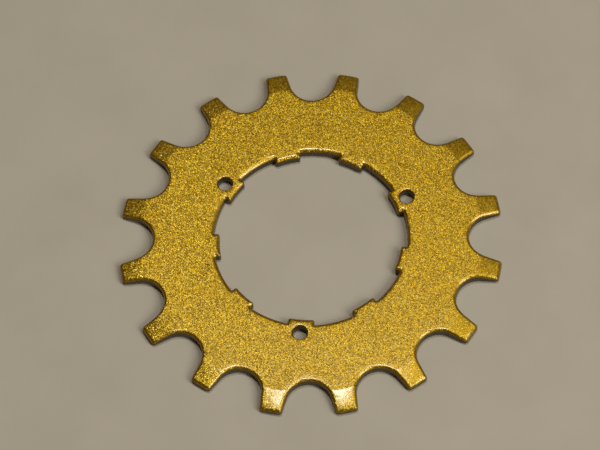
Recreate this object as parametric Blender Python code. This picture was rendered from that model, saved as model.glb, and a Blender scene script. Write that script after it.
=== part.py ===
"""A single 16-tooth bicycle cassette sprocket with a nine-tab spline bore.

The sprocket is one plate. It is made here as it is made in a workshop: a turned
disc with its rim thinned on both faces, then the tooth outline, the spline bore
and three small rivet holes are cut through it. The axis is +Z, the back face
lies on Z = 0, and one tooth points along +X.
"""

import math

import bmesh
import bpy

MM = 0.001

# Chain side: the standard half-inch chain sets the pitch circle.
TOOTH_COUNT = 16
CHAIN_PITCH = 12.7 * MM
TOOTH_STEP = 2 * math.pi / TOOTH_COUNT
PITCH_RADIUS = CHAIN_PITCH / (2 * math.sin(TOOTH_STEP / 2))
SEAT_RADIUS = 4.1 * MM
SEAT_HALF_ANGLE = math.radians(73)
TIP_RADIUS = 34.65 * MM
TIP_CORNER = 0.55 * MM

# Plate and the conical faces that thin the teeth towards their tips.
THICKNESS = 1.9 * MM
CHAMFER_RADIUS = 30.7 * MM
FRONT_DROP = 0.6 * MM
BACK_DROP = 0.2 * MM
BLANK_RADIUS = 36 * MM

# Spline bore: tabs point inwards and enter the grooves of the freehub body.
TAB_COUNT = 9
TAB_STEP = 2 * math.pi / TAB_COUNT
TAB_PHASE = math.radians(13.7)
TAB_RADIUS = 16.4 * MM
GROOVE_RADIUS = 17.45 * MM
TAB_WIDTH = 4.7 * MM
KEY_TAB = 8
KEY_TAB_EXTRA = 0.3 * MM
TAB_CORNER = 0.2 * MM

# Rivet holes, each behind every third tab.
HOLE_COUNT = 3
HOLE_CIRCLE_RADIUS = 19.1 * MM
HOLE_RADIUS = 1.25 * MM

# Facets.
SEAT_SEGMENTS = 18
TIP_SEGMENTS = 3
CORNER_SEGMENTS = 3
BLANK_SEGMENTS = TOOTH_COUNT * 10
GROOVE_SEGMENTS = 8
TAB_SEGMENTS = 5
HOLE_SEGMENTS = 32
CUT_MARGIN = 1 * MM


def polar(radius, angle):
    return (radius * math.cos(angle), radius * math.sin(angle))


def arc_points(centre, radius, start, end, segments):
    """Points from angle start to angle end, both included."""
    points = []
    for index in range(segments + 1):
        x, y = polar(radius, start + (end - start) * index / segments)
        points.append((centre[0] + x, centre[1] + y))
    return points


def turned(points, angle):
    """The points turned about the axis."""
    cosine = math.cos(angle)
    sine = math.sin(angle)
    return [(x * cosine - y * sine, x * sine + y * cosine) for x, y in points]


def half_gap():
    """Half of one tooth gap, opening along +X, from its root up to the tooth tip.

    The roller seat is an arc about the pitch circle. A straight flank leaves it at
    a tangent, and a small corner arc joins the flank to the tip circle.
    """
    seat_centre = (PITCH_RADIUS, 0.0)
    root_angle = math.pi
    flank_angle = math.pi - SEAT_HALF_ANGLE
    seat = arc_points(seat_centre, SEAT_RADIUS, root_angle, flank_angle, SEAT_SEGMENTS // 2)

    # Along the flank, outwards, and across it, into the tooth.
    along = (math.sin(SEAT_HALF_ANGLE), math.cos(SEAT_HALF_ANGLE))
    across = (-along[1], along[0])
    start = seat[-1]

    # The corner's centre is TIP_CORNER inside the flank and inside the tip circle.
    base = (start[0] + TIP_CORNER * across[0], start[1] + TIP_CORNER * across[1])
    along_base = base[0] * along[0] + base[1] * along[1]
    base_square = base[0] ** 2 + base[1] ** 2
    reach = (TIP_RADIUS - TIP_CORNER) ** 2
    distance = -along_base + math.sqrt(along_base ** 2 - base_square + reach)
    corner = (base[0] + distance * along[0], base[1] + distance * along[1])
    flank_side = math.atan2(-across[1], -across[0])
    tip_side = math.atan2(corner[1], corner[0])
    return seat + arc_points(corner, TIP_CORNER, flank_side, tip_side, CORNER_SEGMENTS)


def tooth_outline():
    """The closed outline of all teeth, counter-clockwise."""
    upper = half_gap()
    lower = [(x, -y) for x, y in reversed(upper)][:-1]
    gap = lower + upper
    tip_start = math.atan2(upper[-1][1], upper[-1][0])
    tip = arc_points((0, 0), TIP_RADIUS, tip_start, TOOTH_STEP - tip_start, TIP_SEGMENTS)
    pattern = gap + tip[1:-1]
    outline = []
    for index in range(TOOTH_COUNT):
        outline += turned(pattern, (index + 0.5) * TOOTH_STEP)
    return outline


def tab_side(width):
    """The upper side of a tab pointing at the axis from +X, from its end to its root.

    The side is straight and parallel to the tab's centre line. The end's corner is
    rounded outwards, and the corner with the groove is filleted.
    """
    half = width / 2
    end_y = half - TAB_CORNER
    end_x = math.sqrt((TAB_RADIUS + TAB_CORNER) ** 2 - end_y ** 2)
    end_centre = (end_x, end_y)
    end_angle = math.atan2(end_y, end_x) + math.pi
    end = arc_points(end_centre, TAB_CORNER, end_angle, math.pi / 2, CORNER_SEGMENTS)

    root_y = half + TAB_CORNER
    root_x = math.sqrt((GROOVE_RADIUS - TAB_CORNER) ** 2 - root_y ** 2)
    root_angle = math.atan2(root_y, root_x)
    root = arc_points((root_x, root_y), TAB_CORNER, -math.pi / 2, root_angle, CORNER_SEGMENTS)
    return end + root


def bore_outline():
    """The closed outline of the spline bore, counter-clockwise."""
    outline = []
    for index in range(TAB_COUNT):
        width = TAB_WIDTH + (KEY_TAB_EXTRA if index == KEY_TAB else 0)
        next_is_key = (index + 1) % TAB_COUNT == KEY_TAB
        next_width = TAB_WIDTH + (KEY_TAB_EXTRA if next_is_key else 0)
        side = tab_side(width)
        next_side = turned([(x, -y) for x, y in reversed(tab_side(next_width))], TAB_STEP)
        start = math.atan2(side[0][1], side[0][0])
        tab_end = arc_points((0, 0), TAB_RADIUS, -start, start, TAB_SEGMENTS)
        groove_start = math.atan2(side[-1][1], side[-1][0])
        groove_end = math.atan2(next_side[0][1], next_side[0][0])
        groove = arc_points((0, 0), GROOVE_RADIUS, groove_start, groove_end, GROOVE_SEGMENTS)
        pattern = tab_end[1:-1] + side + groove[1:-1] + next_side
        outline += turned(pattern, TAB_PHASE + index * TAB_STEP)
    return outline


def new_object(name, mesh_builder):
    """A mesh object made by a bmesh."""
    mesh = bpy.data.meshes.new(name)
    mesh_builder.to_mesh(mesh)
    mesh_builder.free()
    piece = bpy.data.objects.new(name, mesh)
    bpy.context.scene.collection.objects.link(piece)
    return piece


def prism(name, outline, bottom, top):
    """A straight prism on a closed counter-clockwise outline."""
    builder = bmesh.new()
    base = builder.faces.new([builder.verts.new((x, y, bottom)) for x, y in outline])
    extruded = bmesh.ops.extrude_face_region(builder, geom=[base])
    raised = [item for item in extruded["geom"] if isinstance(item, bmesh.types.BMVert)]
    bmesh.ops.translate(builder, verts=raised, vec=(0, 0, top - bottom))
    bmesh.ops.recalc_face_normals(builder, faces=builder.faces)
    return new_object(name, builder)


def turned_blank():
    """The disc before its teeth are cut, with both rim faces turned to cones."""
    slope_run = TIP_RADIUS - CHAMFER_RADIUS
    slope = (BLANK_RADIUS - CHAMFER_RADIUS) / slope_run
    front_z = THICKNESS - FRONT_DROP * slope
    back_z = BACK_DROP * slope
    profile = [
        (CHAMFER_RADIUS, 0.0),
        (BLANK_RADIUS, back_z),
        (BLANK_RADIUS, front_z),
        (CHAMFER_RADIUS, THICKNESS),
    ]
    builder = bmesh.new()
    rings = []
    for radius, height in profile:
        ring = []
        for index in range(BLANK_SEGMENTS):
            x, y = polar(radius, 2 * math.pi * index / BLANK_SEGMENTS)
            ring.append(builder.verts.new((x, y, height)))
        rings.append(ring)
    builder.faces.new(reversed(rings[0]))
    builder.faces.new(rings[-1])
    for lower, upper in zip(rings, rings[1:]):
        for index in range(BLANK_SEGMENTS):
            after = (index + 1) % BLANK_SEGMENTS
            builder.faces.new((lower[index], lower[after], upper[after], upper[index]))
    bmesh.ops.recalc_face_normals(builder, faces=builder.faces)
    return new_object("sprocket", builder)


def cut(piece, cutter, operation):
    """An exact Boolean of the piece with a guide that isn't part of the object."""
    cutter.hide_render = True
    cutter.display_type = "WIRE"
    modifier = piece.modifiers.new(cutter.name, "BOOLEAN")
    modifier.operation = operation
    modifier.solver = "EXACT"
    modifier.object = cutter


def gold_coating():
    """Gold metal-flake coating over steel."""
    material = bpy.data.materials.new("gold_flake_coating")
    material.use_nodes = True
    shader = material.node_tree.nodes["Principled BSDF"]
    shader.inputs["Base Color"].default_value = (0.42, 0.24, 0.03, 1)
    shader.inputs["Metallic"].default_value = 0.7
    shader.inputs["Roughness"].default_value = 0.38
    return material


def clear_scene():
    for item in list(bpy.data.objects):
        bpy.data.objects.remove(item, do_unlink=True)


def build():
    clear_scene()
    low = -CUT_MARGIN
    high = THICKNESS + CUT_MARGIN
    sprocket = turned_blank()
    cut(sprocket, prism("tooth_guide", tooth_outline(), low, high), "INTERSECT")
    cut(sprocket, prism("bore_cutter", bore_outline(), low, high), "DIFFERENCE")
    for index in range(HOLE_COUNT):
        angle = TAB_PHASE + index * 2 * math.pi / HOLE_COUNT
        centre = polar(HOLE_CIRCLE_RADIUS, angle)
        outline = arc_points(centre, HOLE_RADIUS, 0, 2 * math.pi, HOLE_SEGMENTS)[:-1]
        cut(sprocket, prism(f"hole_cutter_{index + 1}", outline, low, high), "DIFFERENCE")
    sprocket.data.materials.append(gold_coating())
    sprocket.data.shade_smooth()
    sprocket.data.set_sharp_from_angle(angle=math.radians(30))


build()
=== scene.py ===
"""The finished look of a gold-coated bicycle cassette sprocket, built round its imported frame."""

import math
import random

import bmesh
import bpy
import numpy as np
from mathutils import Matrix, Vector
from mathutils.geometry import delaunay_2d_cdt


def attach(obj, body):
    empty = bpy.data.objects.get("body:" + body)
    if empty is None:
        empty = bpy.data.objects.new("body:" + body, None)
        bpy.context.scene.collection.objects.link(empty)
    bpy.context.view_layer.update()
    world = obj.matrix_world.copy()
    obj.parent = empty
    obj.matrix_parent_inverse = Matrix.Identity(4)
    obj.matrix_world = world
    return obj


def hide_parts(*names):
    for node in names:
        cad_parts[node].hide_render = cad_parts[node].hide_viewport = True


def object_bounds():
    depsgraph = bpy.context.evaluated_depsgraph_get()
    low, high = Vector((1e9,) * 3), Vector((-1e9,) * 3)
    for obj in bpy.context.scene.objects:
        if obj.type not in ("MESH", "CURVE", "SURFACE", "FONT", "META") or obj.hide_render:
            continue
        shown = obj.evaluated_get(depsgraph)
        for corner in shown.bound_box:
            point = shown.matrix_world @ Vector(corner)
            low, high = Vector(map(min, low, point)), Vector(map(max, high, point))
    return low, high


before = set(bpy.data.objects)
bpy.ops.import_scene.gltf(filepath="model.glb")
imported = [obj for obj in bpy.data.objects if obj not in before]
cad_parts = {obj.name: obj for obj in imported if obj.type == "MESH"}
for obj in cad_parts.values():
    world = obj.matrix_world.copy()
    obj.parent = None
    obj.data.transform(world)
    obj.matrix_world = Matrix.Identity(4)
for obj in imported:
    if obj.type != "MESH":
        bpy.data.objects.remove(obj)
CAD_LOW, CAD_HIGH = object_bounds()

MM = 0.001
SEED = 16

# Sizes that the frame gives.
THICKNESS = CAD_HIGH.z - CAD_LOW.z
TIP_RADIUS = (CAD_HIGH.x - CAD_LOW.x) / 2

# The same driving sizes as the solid's.
TOOTH_COUNT = 16
TOOTH_STEP = 2 * math.pi / TOOTH_COUNT
CHAIN_PITCH = 12.7 * MM
PITCH_RADIUS = CHAIN_PITCH / (2 * math.sin(TOOTH_STEP / 2))
SEAT_RADIUS = 4.1 * MM
SEAT_HALF_ANGLE = math.radians(73)
TIP_CORNER = 0.55 * MM
CHAMFER_RADIUS = 30.7 * MM
FRONT_DROP = 0.6 * MM
BACK_DROP = 0.2 * MM
TAB_COUNT = 9
TAB_STEP = 2 * math.pi / TAB_COUNT
TAB_PHASE = math.radians(13.7)
TAB_RADIUS = 16.4 * MM
GROOVE_RADIUS = 17.45 * MM
TAB_WIDTH = 4.7 * MM
KEY_TAB = 8
KEY_TAB_EXTRA = 0.3 * MM
TAB_ROOT_CORNER = 0.2 * MM
HOLE_COUNT = 3
HOLE_CIRCLE_RADIUS = 19.1 * MM
HOLE_RADIUS = 1.25 * MM

# The coat rounds every edge, the front more than the back. A share widens or narrows the
# rounding of one kind of opening without changing its height.
FRONT_ROUND = 0.60 * MM
BACK_ROUND = 0.28 * MM
BORE_ROUND_SHARE = 1.3
HOLE_ROUND_SHARE = 0.5
CHAMFER_BLEND = 0.16 * MM
TAB_END_CORNER = 0.42 * MM
SMALLEST_TIP_CORNER = 0.03 * MM
SMALLEST_TAB_CORNER = 0.14 * MM

# Small differences between the teeth, and the bow and crown of their chamfers. The chamfer
# starts this far inside its radius, and its lean and crown are full this far outside it.
DROP_SPREAD = 0.09
TWIST_SPREAD = 0.012
CHAMFER_BOW = 0.22
TOOTH_CROWN = 0.05 * MM
TOOTH_HALF_WIDTH = 2.5 * MM
CHAMFER_ONSET = 1.0 * MM
CHAMFER_FADE = 4 * CHAMFER_BLEND

# A small nick in the front face beside the bore.
NICK_PLACE = (-19.14 * MM, -1.69 * MM)
NICK_ANGLE = math.radians(-16)
NICK_LENGTH = 1.3 * MM
NICK_WIDTH = 0.55 * MM
NICK_DEPTH = 0.018 * MM

# Mesh density.
SEAT_SEGMENTS = 48
FLANK_SEGMENTS = 5
CORNER_SEGMENTS = 7
TIP_SEGMENTS = 12
TAB_END_SEGMENTS = 14
TAB_SIDE_SEGMENTS = 3
GROOVE_SEGMENTS = 22
HOLE_SEGMENTS = 72
FRONT_ROUND_SEGMENTS = 12
BACK_ROUND_SEGMENTS = 5
FACE_GRID = 0.9 * MM
FACE_GRID_MARGIN = 0.25 * MM
NICK_GRID = 0.06 * MM
CHAMFER_RING_OFFSETS = (-4, -2.5, -1.5, -0.75, 0, 0.75, 1.5, 2.5, 4)
CHAMFER_RING_REACH = 5 * CHAMFER_BLEND
CHAMFER_RING_POINTS = 1440
MERGE_DISTANCE = 1e-9


def polar(radius, angle):
    """The point at a radius and an angle."""
    return (radius * math.cos(angle), radius * math.sin(angle))


def arc_points(centre, radius, start, end, segments):
    """Points from angle start to angle end, both included."""
    angles = [start + (end - start) * index / segments for index in range(segments + 1)]
    return [(centre[0] + radius * math.cos(a), centre[1] + radius * math.sin(a)) for a in angles]


def line_points(start, end, segments):
    """Points between two ends, neither included."""
    steps = [index / segments for index in range(1, segments)]
    return [(start[0] + (end[0] - start[0]) * t, start[1] + (end[1] - start[1]) * t) for t in steps]


def turned(points, angle):
    """The points turned about the axis."""
    cosine = math.cos(angle)
    sine = math.sin(angle)
    return [(x * cosine - y * sine, x * sine + y * cosine) for x, y in points]


def half_gap(inset):
    """Half of one tooth gap, opening along +X, moved into the metal by inset."""
    seat_radius = SEAT_RADIUS + inset
    corner_radius = max(TIP_CORNER - inset, SMALLEST_TIP_CORNER)
    flank_angle = math.pi - SEAT_HALF_ANGLE
    seat = arc_points((PITCH_RADIUS, 0), seat_radius, math.pi, flank_angle, SEAT_SEGMENTS // 2)
    along = (math.sin(SEAT_HALF_ANGLE), math.cos(SEAT_HALF_ANGLE))
    across = (-along[1], along[0])
    base = (seat[-1][0] + corner_radius * across[0], seat[-1][1] + corner_radius * across[1])
    along_base = base[0] * along[0] + base[1] * along[1]
    base_square = base[0] ** 2 + base[1] ** 2
    reach = (TIP_RADIUS - inset - corner_radius) ** 2
    distance = -along_base + math.sqrt(along_base ** 2 - base_square + reach)
    centre = (base[0] + distance * along[0], base[1] + distance * along[1])
    flank_side = math.atan2(-across[1], -across[0])
    tip_side = math.atan2(centre[1], centre[0])
    corner = arc_points(centre, corner_radius, flank_side, tip_side, CORNER_SEGMENTS)
    return seat + line_points(seat[-1], corner[0], FLANK_SEGMENTS) + corner


def tooth_outline(inset):
    """The closed outline of all teeth, counter-clockwise, moved into the metal by inset."""
    upper = half_gap(inset)
    lower = [(x, -y) for x, y in reversed(upper)][:-1]
    tip_start = math.atan2(upper[-1][1], upper[-1][0])
    tip_end = TOOTH_STEP - tip_start
    tip = arc_points((0, 0), TIP_RADIUS - inset, tip_start, tip_end, TIP_SEGMENTS)
    pattern = lower + upper + tip[1:-1]
    outline = []
    for index in range(TOOTH_COUNT):
        outline += turned(pattern, (index + 0.5) * TOOTH_STEP)
    return outline


def tab_side(width, inset):
    """The upper side of a tab lying along +X, from its end to its root."""
    half = width / 2 - inset
    end_radius = TAB_RADIUS + inset
    root_radius = GROOVE_RADIUS + inset
    end_corner = max(TAB_END_CORNER - inset, SMALLEST_TAB_CORNER)
    root_corner = TAB_ROOT_CORNER + inset
    end_y = half - end_corner
    end_x = math.sqrt((end_radius + end_corner) ** 2 - end_y ** 2)
    end_angle = math.atan2(end_y, end_x) + math.pi
    end = arc_points((end_x, end_y), end_corner, end_angle, math.pi / 2, CORNER_SEGMENTS)
    root_y = half + root_corner
    root_x = math.sqrt((root_radius - root_corner) ** 2 - root_y ** 2)
    root_angle = math.atan2(root_y, root_x)
    root_centre = (root_x, root_y)
    root = arc_points(root_centre, root_corner, -math.pi / 2, root_angle, CORNER_SEGMENTS)
    return end + line_points(end[-1], root[0], TAB_SIDE_SEGMENTS) + root


def tab_width(index):
    """The width of one tab: the key tab is a little wider than the others."""
    return TAB_WIDTH + (KEY_TAB_EXTRA if index % TAB_COUNT == KEY_TAB else 0)


def bore_outline(inset):
    """The closed outline of the spline bore, counter-clockwise, moved into the metal by inset."""
    outline = []
    for index in range(TAB_COUNT):
        side = tab_side(tab_width(index), inset)
        mirrored = [(x, -y) for x, y in reversed(tab_side(tab_width(index + 1), inset))]
        next_side = turned(mirrored, TAB_STEP)
        start = math.atan2(side[0][1], side[0][0])
        tab_end = arc_points((0, 0), TAB_RADIUS + inset, -start, start, TAB_END_SEGMENTS)
        first = math.atan2(side[-1][1], side[-1][0])
        last = math.atan2(next_side[0][1], next_side[0][0])
        groove = arc_points((0, 0), GROOVE_RADIUS + inset, first, last, GROOVE_SEGMENTS)
        outline += turned(tab_end[1:-1] + side + groove[1:-1] + next_side, TAB_PHASE + index * TAB_STEP)
    return outline


def hole_outline(index, inset):
    """The closed outline of a rivet hole, counter-clockwise, moved into the metal by inset."""
    centre = polar(HOLE_CIRCLE_RADIUS, TAB_PHASE + index * 2 * math.pi / HOLE_COUNT)
    return arc_points(centre, HOLE_RADIUS + HOLE_ROUND_SHARE * inset, 0, 2 * math.pi, HOLE_SEGMENTS)[:-1]


def outlines(inset):
    """The outer outline first, then the bore and the holes, each moved into the metal."""
    holes = [hole_outline(index, inset) for index in range(HOLE_COUNT)]
    bore = bore_outline(BORE_ROUND_SHARE * inset)
    return [np.array(points) for points in [tooth_outline(inset), bore, *holes]]


class ToothForm:
    """Small differences between the teeth, as a press and a thick coat leave them."""

    def __init__(self):
        source = random.Random(SEED)
        self.drop = np.array([source.uniform(-1, 1) for _ in range(TOOTH_COUNT)])
        self.twist = np.array([source.uniform(-1, 1) for _ in range(TOOTH_COUNT)])


FORM = ToothForm()


def rim_drop(points, drop):
    """How far the thinned rim lies below the flat face."""
    radius = np.hypot(points[:, 0], points[:, 1])
    angle = np.arctan2(points[:, 1], points[:, 0])
    nearest = np.round(angle / TOOTH_STEP).astype(int)
    across = (angle - nearest * TOOTH_STEP) * radius
    tooth = nearest % TOOTH_COUNT
    past = radius - CHAMFER_RADIUS
    run = 0.5 * (past + np.sqrt(past ** 2 + CHAMFER_BLEND ** 2))
    run = np.where(past < -CHAMFER_FADE, 0, run)
    share = run / (TIP_RADIUS - CHAMFER_RADIUS)
    bowed = share * (1 - CHAMFER_BOW + CHAMFER_BOW * share)
    fall = drop * bowed * (1 + DROP_SPREAD * FORM.drop[tooth])
    onset = np.clip(past / CHAMFER_ONSET, 0, 1)
    lean = TWIST_SPREAD * FORM.twist[tooth] * across * onset
    crown = TOOTH_CROWN * (across / TOOTH_HALF_WIDTH) ** 2 * onset
    return np.maximum(fall + lean + crown, 0)


def nick_depth(points):
    """How far the nick lies below the front face."""
    x = points[:, 0] - NICK_PLACE[0]
    y = points[:, 1] - NICK_PLACE[1]
    along = (x * math.cos(NICK_ANGLE) + y * math.sin(NICK_ANGLE)) / (NICK_LENGTH / 2)
    across = (y * math.cos(NICK_ANGLE) - x * math.sin(NICK_ANGLE)) / (NICK_WIDTH / 2)
    return NICK_DEPTH * np.exp(-(along ** 2 + across ** 2))


def front_height(points):
    """Height of the front face above the back face's plane."""
    return THICKNESS - rim_drop(points, FRONT_DROP) - nick_depth(points)


def back_height(points):
    """Height of the back face, above zero only where the tips are thinned."""
    return rim_drop(points, BACK_DROP)


def edge_rings():
    """The rings of the rounded edges, from the back face round to the front face.

    Each is the outlines at one inset, with a height for every point.
    """
    rings = []
    for step in range(BACK_ROUND_SEGMENTS + 1):
        angle = math.pi / 2 * (1 - step / BACK_ROUND_SEGMENTS)
        loops = outlines(BACK_ROUND * (1 - math.cos(angle)))
        lift = BACK_ROUND * (1 - math.sin(angle))
        rings.append([(loop, back_height(loop) + lift) for loop in loops])
    for step in range(FRONT_ROUND_SEGMENTS + 1):
        angle = math.pi / 2 * step / FRONT_ROUND_SEGMENTS
        loops = outlines(FRONT_ROUND * (1 - math.cos(angle)))
        fall = FRONT_ROUND * (1 - math.sin(angle))
        rings.append([(loop, front_height(loop) - fall) for loop in loops])
    return rings


def inside(points, loop):
    """Whether each point is inside the closed loop, by counting crossings."""
    x = points[:, 0][:, None]
    y = points[:, 1][:, None]
    x0, y0 = loop[:, 0][None, :], loop[:, 1][None, :]
    x1, y1 = np.roll(loop[:, 0], -1)[None, :], np.roll(loop[:, 1], -1)[None, :]
    spans = (y0 > y) != (y1 > y)
    rise = np.where(y1 == y0, 1, y1 - y0)
    crossing = x0 + (y - y0) * (x1 - x0) / rise
    return (spans & (x < crossing)).sum(1) % 2 == 1


def on_metal(points, loops):
    """Whether each point is inside the outer loop and outside every opening."""
    kept = inside(points, loops[0])
    for loop in loops[1:]:
        kept &= ~inside(points, loop)
    return kept


def face_points(far_loops):
    """Points inside a face: a hexagonal grid, rings where the rim starts to slope, and
    a fine grid at the nick.
    """
    count = int(TIP_RADIUS / FACE_GRID) + 2
    grid = []
    for row in range(-count * 2, count * 2 + 1):
        for column in range(-count - 1, count + 2):
            x = (column + 0.5 * (row % 2)) * FACE_GRID
            grid.append((x, row * FACE_GRID * math.sqrt(3) / 2))
    grid = np.array(grid)
    radius = np.hypot(grid[:, 0], grid[:, 1])
    grid = grid[np.abs(radius - CHAMFER_RADIUS) > CHAMFER_RING_REACH]
    rings = []
    for offset in CHAMFER_RING_OFFSETS:
        ring_radius = CHAMFER_RADIUS + offset * CHAMFER_BLEND
        ring = arc_points((0, 0), ring_radius, 0, 2 * math.pi, CHAMFER_RING_POINTS)[:-1]
        rings.append(np.array(ring))
    steps = np.arange(-NICK_LENGTH, NICK_LENGTH, NICK_GRID)
    fine = np.array([(NICK_PLACE[0] + x, NICK_PLACE[1] + y) for x in steps for y in steps])
    points = np.vstack([grid, fine, *rings])
    return points[on_metal(points, far_loops)]


def fill_face(loops, extra):
    """Triangles between the loops, through the extra points."""
    coordinates = [Vector(point) for loop in loops for point in loop.tolist()]
    edges = []
    start = 0
    for loop in loops:
        size = len(loop)
        edges += [(start + index, start + (index + 1) % size) for index in range(size)]
        start += size
    coordinates += [Vector(point) for point in extra.tolist()]
    points, _, triangles, originals, _, _ = delaunay_2d_cdt(coordinates, edges, [], 0, MERGE_DISTANCE)
    flat = np.array([(point.x, point.y) for point in points])
    centres = np.array([flat[list(triangle)].mean(0) for triangle in triangles])
    kept = on_metal(centres, loops)
    return flat, [t for t, keep in zip(triangles, kept) if keep], originals


def plate_mesh(name):
    """The whole coated plate as one closed mesh."""
    rings = edge_rings()
    builder = bmesh.new()
    ring_verts = []
    for ring in rings:
        loops = []
        for loop, heights in ring:
            places = zip(loop.tolist(), heights.tolist())
            loops.append([builder.verts.new((x, y, z)) for (x, y), z in places])
        ring_verts.append(loops)
    for lower, upper in zip(ring_verts, ring_verts[1:]):
        for which, (low_loop, high_loop) in enumerate(zip(lower, upper)):
            size = len(low_loop)
            for index in range(size):
                after = (index + 1) % size
                quad = (low_loop[index], low_loop[after], high_loop[after], high_loop[index])
                builder.faces.new(quad if which == 0 else reversed(quad))
    for loops, verts, height, upward in (
        ([loop for loop, _ in rings[-1]], ring_verts[-1], front_height, True),
        ([loop for loop, _ in rings[0]], ring_verts[0], back_height, False),
    ):
        inset = (FRONT_ROUND if upward else BACK_ROUND) + FACE_GRID_MARGIN
        extra = face_points(outlines(inset))
        flat, triangles, originals = fill_face(loops, extra)
        boundary = [vert for loop in verts for vert in loop]
        heights = height(flat).tolist()
        face_verts = []
        for index, sources in enumerate(originals):
            owned = [source for source in sources if source < len(boundary)]
            if owned:
                face_verts.append(boundary[owned[0]])
            else:
                place = (flat[index][0], flat[index][1], heights[index])
                face_verts.append(builder.verts.new(place))
        for triangle in triangles:
            corners = [face_verts[index] for index in triangle]
            if not upward:
                corners.reverse()
            builder.faces.new(corners)
    loose = [vert for vert in builder.verts if not vert.link_faces]
    bmesh.ops.delete(builder, geom=loose, context="VERTS")
    bmesh.ops.recalc_face_normals(builder, faces=builder.faces)
    mesh = bpy.data.meshes.new(name)
    builder.to_mesh(mesh)
    builder.free()
    mesh.shade_smooth()
    return mesh


class Nodes:
    """Short helpers that add nodes to a material."""

    def __init__(self, name):
        self.material = bpy.data.materials.new(name)
        self.material.use_nodes = True
        self.tree = self.material.node_tree
        self.shader = self.tree.nodes["Principled BSDF"]

    def add(self, kind, **settings):
        """A new node with its settings."""
        node = self.tree.nodes.new(kind)
        for key, value in settings.items():
            setattr(node, key, value)
        return node

    def link(self, source, target):
        self.tree.links.new(source, target)

    def put(self, socket, value):
        """Links a socket to another one, or sets its number or colour."""
        if isinstance(value, bpy.types.NodeSocket):
            self.link(value, socket)
        else:
            socket.default_value = value

    def feed(self, node, **inputs):
        """Fills a node's inputs by name, with underscores for spaces."""
        for key, value in inputs.items():
            self.put(node.inputs[key.replace("_", " ")], value)
        return node

    def math(self, operation, *values):
        node = self.add("ShaderNodeMath", operation=operation)
        for socket, value in zip(node.inputs, values):
            self.put(socket, value)
        return node.outputs[0]

    def vector(self, operation, *values):
        node = self.add("ShaderNodeVectorMath", operation=operation)
        for socket, value in zip([s for s in node.inputs if s.type == "VECTOR"], values):
            self.put(socket, value)
        return node

    def scaled(self, source, factor):
        node = self.vector("SCALE", source)
        node.inputs["Scale"].default_value = factor
        return node.outputs[0]

    def ramp(self, factor, stops):
        """A colour ramp through (position, colour) stops."""
        node = self.add("ShaderNodeValToRGB")
        elements = node.color_ramp.elements
        while len(elements) > 1:
            elements.remove(elements[-1])
        elements[0].position, elements[0].color = stops[0][0], (*stops[0][1], 1)
        for position, colour in stops[1:]:
            elements.new(position).color = (*colour, 1)
        self.link(factor, node.inputs["Fac"])
        return node.outputs["Color"]

    def mix(self, factor, first, second, blend="MIX"):
        node = self.add("ShaderNodeMix", data_type="RGBA", blend_type=blend)
        colours = [(*value, 1) if isinstance(value, tuple) else value for value in (first, second)]
        self.put(node.inputs[0], factor)
        self.put(node.inputs[6], colours[0])
        self.put(node.inputs[7], colours[1])
        return node.outputs[2]

    def range(self, value, low, high, out_low=0.0, out_high=1.0, smooth=False):
        kind = "SMOOTHSTEP" if smooth else "LINEAR"
        node = self.add("ShaderNodeMapRange", interpolation_type=kind)
        self.feed(node, Value=value, From_Min=low, From_Max=high, To_Min=out_low, To_Max=out_high)
        return node.outputs["Result"]


# Grain of the metal flake. A size is in millimetres across one flake, a tilt is the most
# that one part of a flake's normal leans, and a noise scale is per millimetre.
FLAKE_SIZE = 0.17
FINE_FLAKE_SIZE = 0.10
FLAKE_TILT = 0.105
FINE_FLAKE_TILT = 0.08
FLAKE_COLOURS = [
    (0.00, (0.240, 0.110, 0.002)),
    (0.30, (0.350, 0.208, 0.004)),
    (0.60, (0.420, 0.283, 0.010)),
    (0.80, (0.510, 0.385, 0.030)),
    (0.90, (0.760, 0.620, 0.170)),
    (1.00, (1.000, 0.900, 0.500)),
]
FLAKE_ROUGHNESS = (0.35, 0.51)
DRIFT_SCALE = 0.09
DRIFT_TINTS = [(0.3, (0.93, 0.90, 0.80)), (0.5, (1.0, 1.0, 1.0)), (0.7, (1.05, 1.02, 0.95))]

# The side walls turn dark as the vertical part of the normal falls from start to full. Their dark colour
# is partly the walls' own less gold finish and partly painted shade, as the walls stand out of the
# light.
WALL_START = 0.56
WALL_FULL = 0.20
WALL_NOISE_SCALE = 0.8
WALL_FINISH_AND_PAINTED_SHADE_COLOURS = [(0.3, (0.028, 0.019, 0.008)), (0.7, (0.070, 0.049, 0.021))]

# Worn colour of the nick: full inside the inner limit, gone beyond the outer one. The limits
# are squares of the distance from its middle, in lengths and widths of the nick.
NICK_COLOUR = (0.090, 0.052, 0.014)
NICK_STRENGTH = 0.62
NICK_INNER = 0.06
NICK_OUTER = 0.34

# The clear coat and the metal under it. Of a pair, the face is first, then the side wall.
METALLIC = (0.92, 0.5)
COAT_WEIGHT = (0.95, 0.35)
COAT_ROUGHNESS = 0.17
COAT_IOR = 1.5
PEEL_SCALE = 0.9
PEEL_HEIGHT = 0.012 * MM


def split(n, colour):
    """The three channels of a colour."""
    node = n.add("ShaderNodeSeparateColor")
    n.link(colour, node.inputs[0])
    return node.outputs


def flake_lean(n, cells, tilt):
    """A random lean for each flake cell."""
    centred = n.vector("SUBTRACT", cells, (0.5, 0.5, 0.5)).outputs[0]
    return n.scaled(centred, 2 * tilt)


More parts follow.
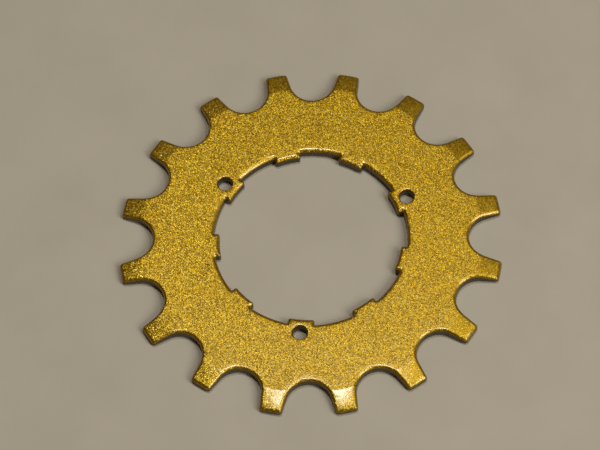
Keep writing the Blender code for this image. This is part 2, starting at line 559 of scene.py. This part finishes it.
def nick_mask(n, place):
    """How strongly the nick's worn colour shows."""
    cosine = math.cos(NICK_ANGLE)
    sine = math.sin(NICK_ANGLE)
    from_nick = n.vector("SUBTRACT", place, (*NICK_PLACE, THICKNESS)).outputs[0]
    long_way = (cosine / NICK_LENGTH, sine / NICK_LENGTH, 0)
    short_way = (-sine / NICK_WIDTH, cosine / NICK_WIDTH, 0)
    along = n.vector("DOT_PRODUCT", from_nick, long_way).outputs["Value"]
    across = n.vector("DOT_PRODUCT", from_nick, short_way).outputs["Value"]
    far = n.math("ADD", n.math("MULTIPLY", along, along), n.math("MULTIPLY", across, across))
    return n.range(far, NICK_INNER, NICK_OUTER, NICK_STRENGTH, 0.0, smooth=True)


def gold_flake():
    """Gold metal-flake coat under clear: tilted flakes, a faint orange peel, and side walls darkened
    partly by their own finish and partly by painted shade.
    """
    n = Nodes("gold_metal_flake_coat")
    place = n.add("ShaderNodeTexCoord").outputs["Object"]
    millimetres = n.scaled(place, 1 / MM)
    normal = n.add("ShaderNodeNewGeometry").outputs["Normal"]

    def voronoi(size):
        return n.feed(n.add("ShaderNodeTexVoronoi"), Vector=millimetres, Scale=1 / size)

    def noise(scale, detail, roughness):
        node = n.add("ShaderNodeTexNoise")
        n.feed(node, Vector=millimetres, Scale=scale, Detail=detail, Roughness=roughness)
        return node.outputs["Fac"]

    cells = voronoi(FLAKE_SIZE).outputs["Color"]
    fine_cells = voronoi(FINE_FLAKE_SIZE).outputs["Color"]
    chance = split(n, cells)
    fine_chance = split(n, fine_cells)

    # Colour: two sizes of flake, then a slow drift between greener and browner gold.
    both = n.math("ADD", n.math("MULTIPLY", chance[0], 0.5), n.math("MULTIPLY", fine_chance[0], 0.5))
    flakes = n.ramp(both, FLAKE_COLOURS)
    tint = n.ramp(noise(DRIFT_SCALE, 3.0, 0.55), DRIFT_TINTS)
    coloured = n.mix(1.0, flakes, tint, "MULTIPLY")
    worn = n.mix(nick_mask(n, place), coloured, NICK_COLOUR)

    # The side walls carry little flake and are glossy; their dark base colour is partly that and partly
    # painted shade.
    upright = n.math("ABSOLUTE", n.vector("DOT_PRODUCT", normal, (0, 0, 1)).outputs["Value"])
    wall = n.range(upright, WALL_START, WALL_FULL, smooth=True)
    wall_finish_and_painted_shade_colour = n.ramp(noise(WALL_NOISE_SCALE, 4.0, 0.6), WALL_FINISH_AND_PAINTED_SHADE_COLOURS)
    n.feed(n.shader, Base_Color=n.mix(wall, worn, wall_finish_and_painted_shade_colour))

    # Flakes lean at random under a clear coat that follows the orange peel only.
    peel = noise(PEEL_SCALE, 2.0, 0.5)
    bump = n.feed(n.add("ShaderNodeBump"), Strength=1.0, Distance=PEEL_HEIGHT, Height=peel)
    peeled = bump.outputs["Normal"]
    lean = flake_lean(n, cells, FLAKE_TILT)
    fine_lean = flake_lean(n, fine_cells, FINE_FLAKE_TILT)
    leans = n.vector("ADD", lean, fine_lean).outputs[0]
    tilted = n.vector("ADD", peeled, leans).outputs[0]
    n.link(n.vector("NORMALIZE", tilted).outputs[0], n.shader.inputs["Normal"])
    n.link(peeled, n.shader.inputs["Coat Normal"])

    roughness = n.range(fine_chance[1], 0.0, 1.0, *FLAKE_ROUGHNESS)
    metallic = n.range(wall, 0.0, 1.0, *METALLIC)
    coat_weight = n.range(wall, 0.0, 1.0, *COAT_WEIGHT)
    n.feed(n.shader, Roughness=roughness, Metallic=metallic, Coat_Weight=coat_weight)
    n.shader.inputs["Coat Roughness"].default_value = COAT_ROUGHNESS
    n.shader.inputs["Coat IOR"].default_value = COAT_IOR
    return n.material


FLOOR_SIZE = 1.6
FLOOR_GAP = 0.02 * MM
FLOOR_COLOURS = [(0.3, (0.41, 0.39, 0.328)), (0.7, (0.445, 0.425, 0.362))]
FLOOR_MOTTLE_SCALE = 60.0
FLOOR_ROUGHNESS = 0.6


def floor_material():
    """Plain pale board with a barely visible mottle."""
    n = Nodes("pale_floor")
    place = n.add("ShaderNodeTexCoord").outputs["Object"]
    mottle = n.add("ShaderNodeTexNoise")
    n.feed(mottle, Vector=place, Scale=FLOOR_MOTTLE_SCALE, Detail=4.0, Roughness=0.55)
    n.feed(n.shader, Base_Color=n.ramp(mottle.outputs["Fac"], FLOOR_COLOURS))
    n.shader.inputs["Roughness"].default_value = FLOOR_ROUGHNESS
    return n.material


def make_sprocket():
    """The one visible piece, on the root body."""
    piece = bpy.data.objects.new("coated_sprocket", plate_mesh("coated_sprocket"))
    bpy.context.scene.collection.objects.link(piece)
    piece.data.materials.append(gold_flake())
    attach(piece, "root")
    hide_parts("sprocket")


def make_floor():
    """A wide flat floor just under the sprocket."""
    builder = bmesh.new()
    bmesh.ops.create_grid(builder, x_segments=8, y_segments=8, size=FLOOR_SIZE / 2)
    mesh = bpy.data.meshes.new("floor")
    builder.to_mesh(mesh)
    builder.free()
    floor = bpy.data.objects.new("floor", mesh)
    floor.location.z = CAD_LOW.z - FLOOR_GAP
    bpy.context.scene.collection.objects.link(floor)
    mesh.materials.append(floor_material())


# The camera looks down at the front face. Its turn is about the sprocket's axis.
CAMERA_TURN = math.radians(-6.2)
CAMERA_ELEVATION = math.radians(62.36)
CAMERA_ROLL = math.radians(-4.94)
CAMERA_DISTANCE = 508.5 * MM
CAMERA_AIM = (-1.677 * MM, 2.5 * MM)
CAMERA_LENS = 169.4
CAMERA_NEAR = 0.02
SENSOR_WIDTH = 36.0


def view_axes(elevation):
    """Right, up and back of a camera that looks along +Y and down by elevation."""
    back = Vector((0, -math.cos(elevation), math.sin(elevation)))
    right = Vector((1, 0, 0))
    return right, back.cross(right), back


def make_camera():
    """The scene's camera."""
    right, up, back = view_axes(CAMERA_ELEVATION)
    rolled_right = math.cos(CAMERA_ROLL) * right + math.sin(CAMERA_ROLL) * up
    rolled_up = math.cos(CAMERA_ROLL) * up - math.sin(CAMERA_ROLL) * right
    place = Vector((*CAMERA_AIM, THICKNESS)) + back * CAMERA_DISTANCE
    pose = Matrix((rolled_right, rolled_up, back)).transposed().to_4x4()
    pose.translation = place
    data = bpy.data.cameras.new("camera")
    data.lens = CAMERA_LENS
    data.sensor_width = SENSOR_WIDTH
    data.clip_start = CAMERA_NEAR
    camera = bpy.data.objects.new("camera", data)
    camera.matrix_world = Matrix.Rotation(CAMERA_TURN, 4, "Z") @ pose
    bpy.context.scene.collection.objects.link(camera)
    bpy.context.scene.camera = camera


# Direction from the sprocket in the camera's turned frame, distance, width and depth, watts.
LAMPS = {
    "overhead_lamp": ((0.0, 0.205, 0.98), 2.0, (0.20, 0.40), 10.6),
    "side_lamp": ((0.42, -0.06, 0.90), 1.6, (0.30, 0.30), 4.5),
    "low_lamp": ((0.62, -0.44, 0.64), 1.6, (0.70, 0.70), 12.5),
}
LAMP_COLOUR = (1.0, 0.96, 0.86)
ROOM_COLOUR = (1.0, 0.40, 0.14, 1)
ROOM_STRENGTH = 0.075


def make_lamp(name, direction, distance, size, power):
    """A soft oblong lamp that shines at the sprocket from a direction, turned with the camera."""
    turn = Matrix.Rotation(CAMERA_TURN, 3, "Z")
    towards = turn @ Vector(direction).normalized()
    data = bpy.data.lights.new(name, "AREA")
    data.shape = "RECTANGLE"
    data.size, data.size_y = size
    data.energy = power
    data.color = LAMP_COLOUR
    lamp = bpy.data.objects.new(name, data)
    lamp.location = towards * distance
    lamp.rotation_mode = "QUATERNION"
    lamp.rotation_quaternion = towards.to_track_quat("Z", "Y")
    bpy.context.scene.collection.objects.link(lamp)


def make_light():
    """Three soft lamps and a faint warm room."""
    for name, settings in LAMPS.items():
        make_lamp(name, *settings)
    world = bpy.data.worlds.new("soft_room")
    world.use_nodes = True
    background = world.node_tree.nodes["Background"]
    background.inputs["Color"].default_value = ROOM_COLOUR
    background.inputs["Strength"].default_value = ROOM_STRENGTH
    bpy.context.scene.world = world
    bpy.context.scene.view_settings.view_transform = "Standard"


make_camera()
make_sprocket()
make_floor()
make_light()
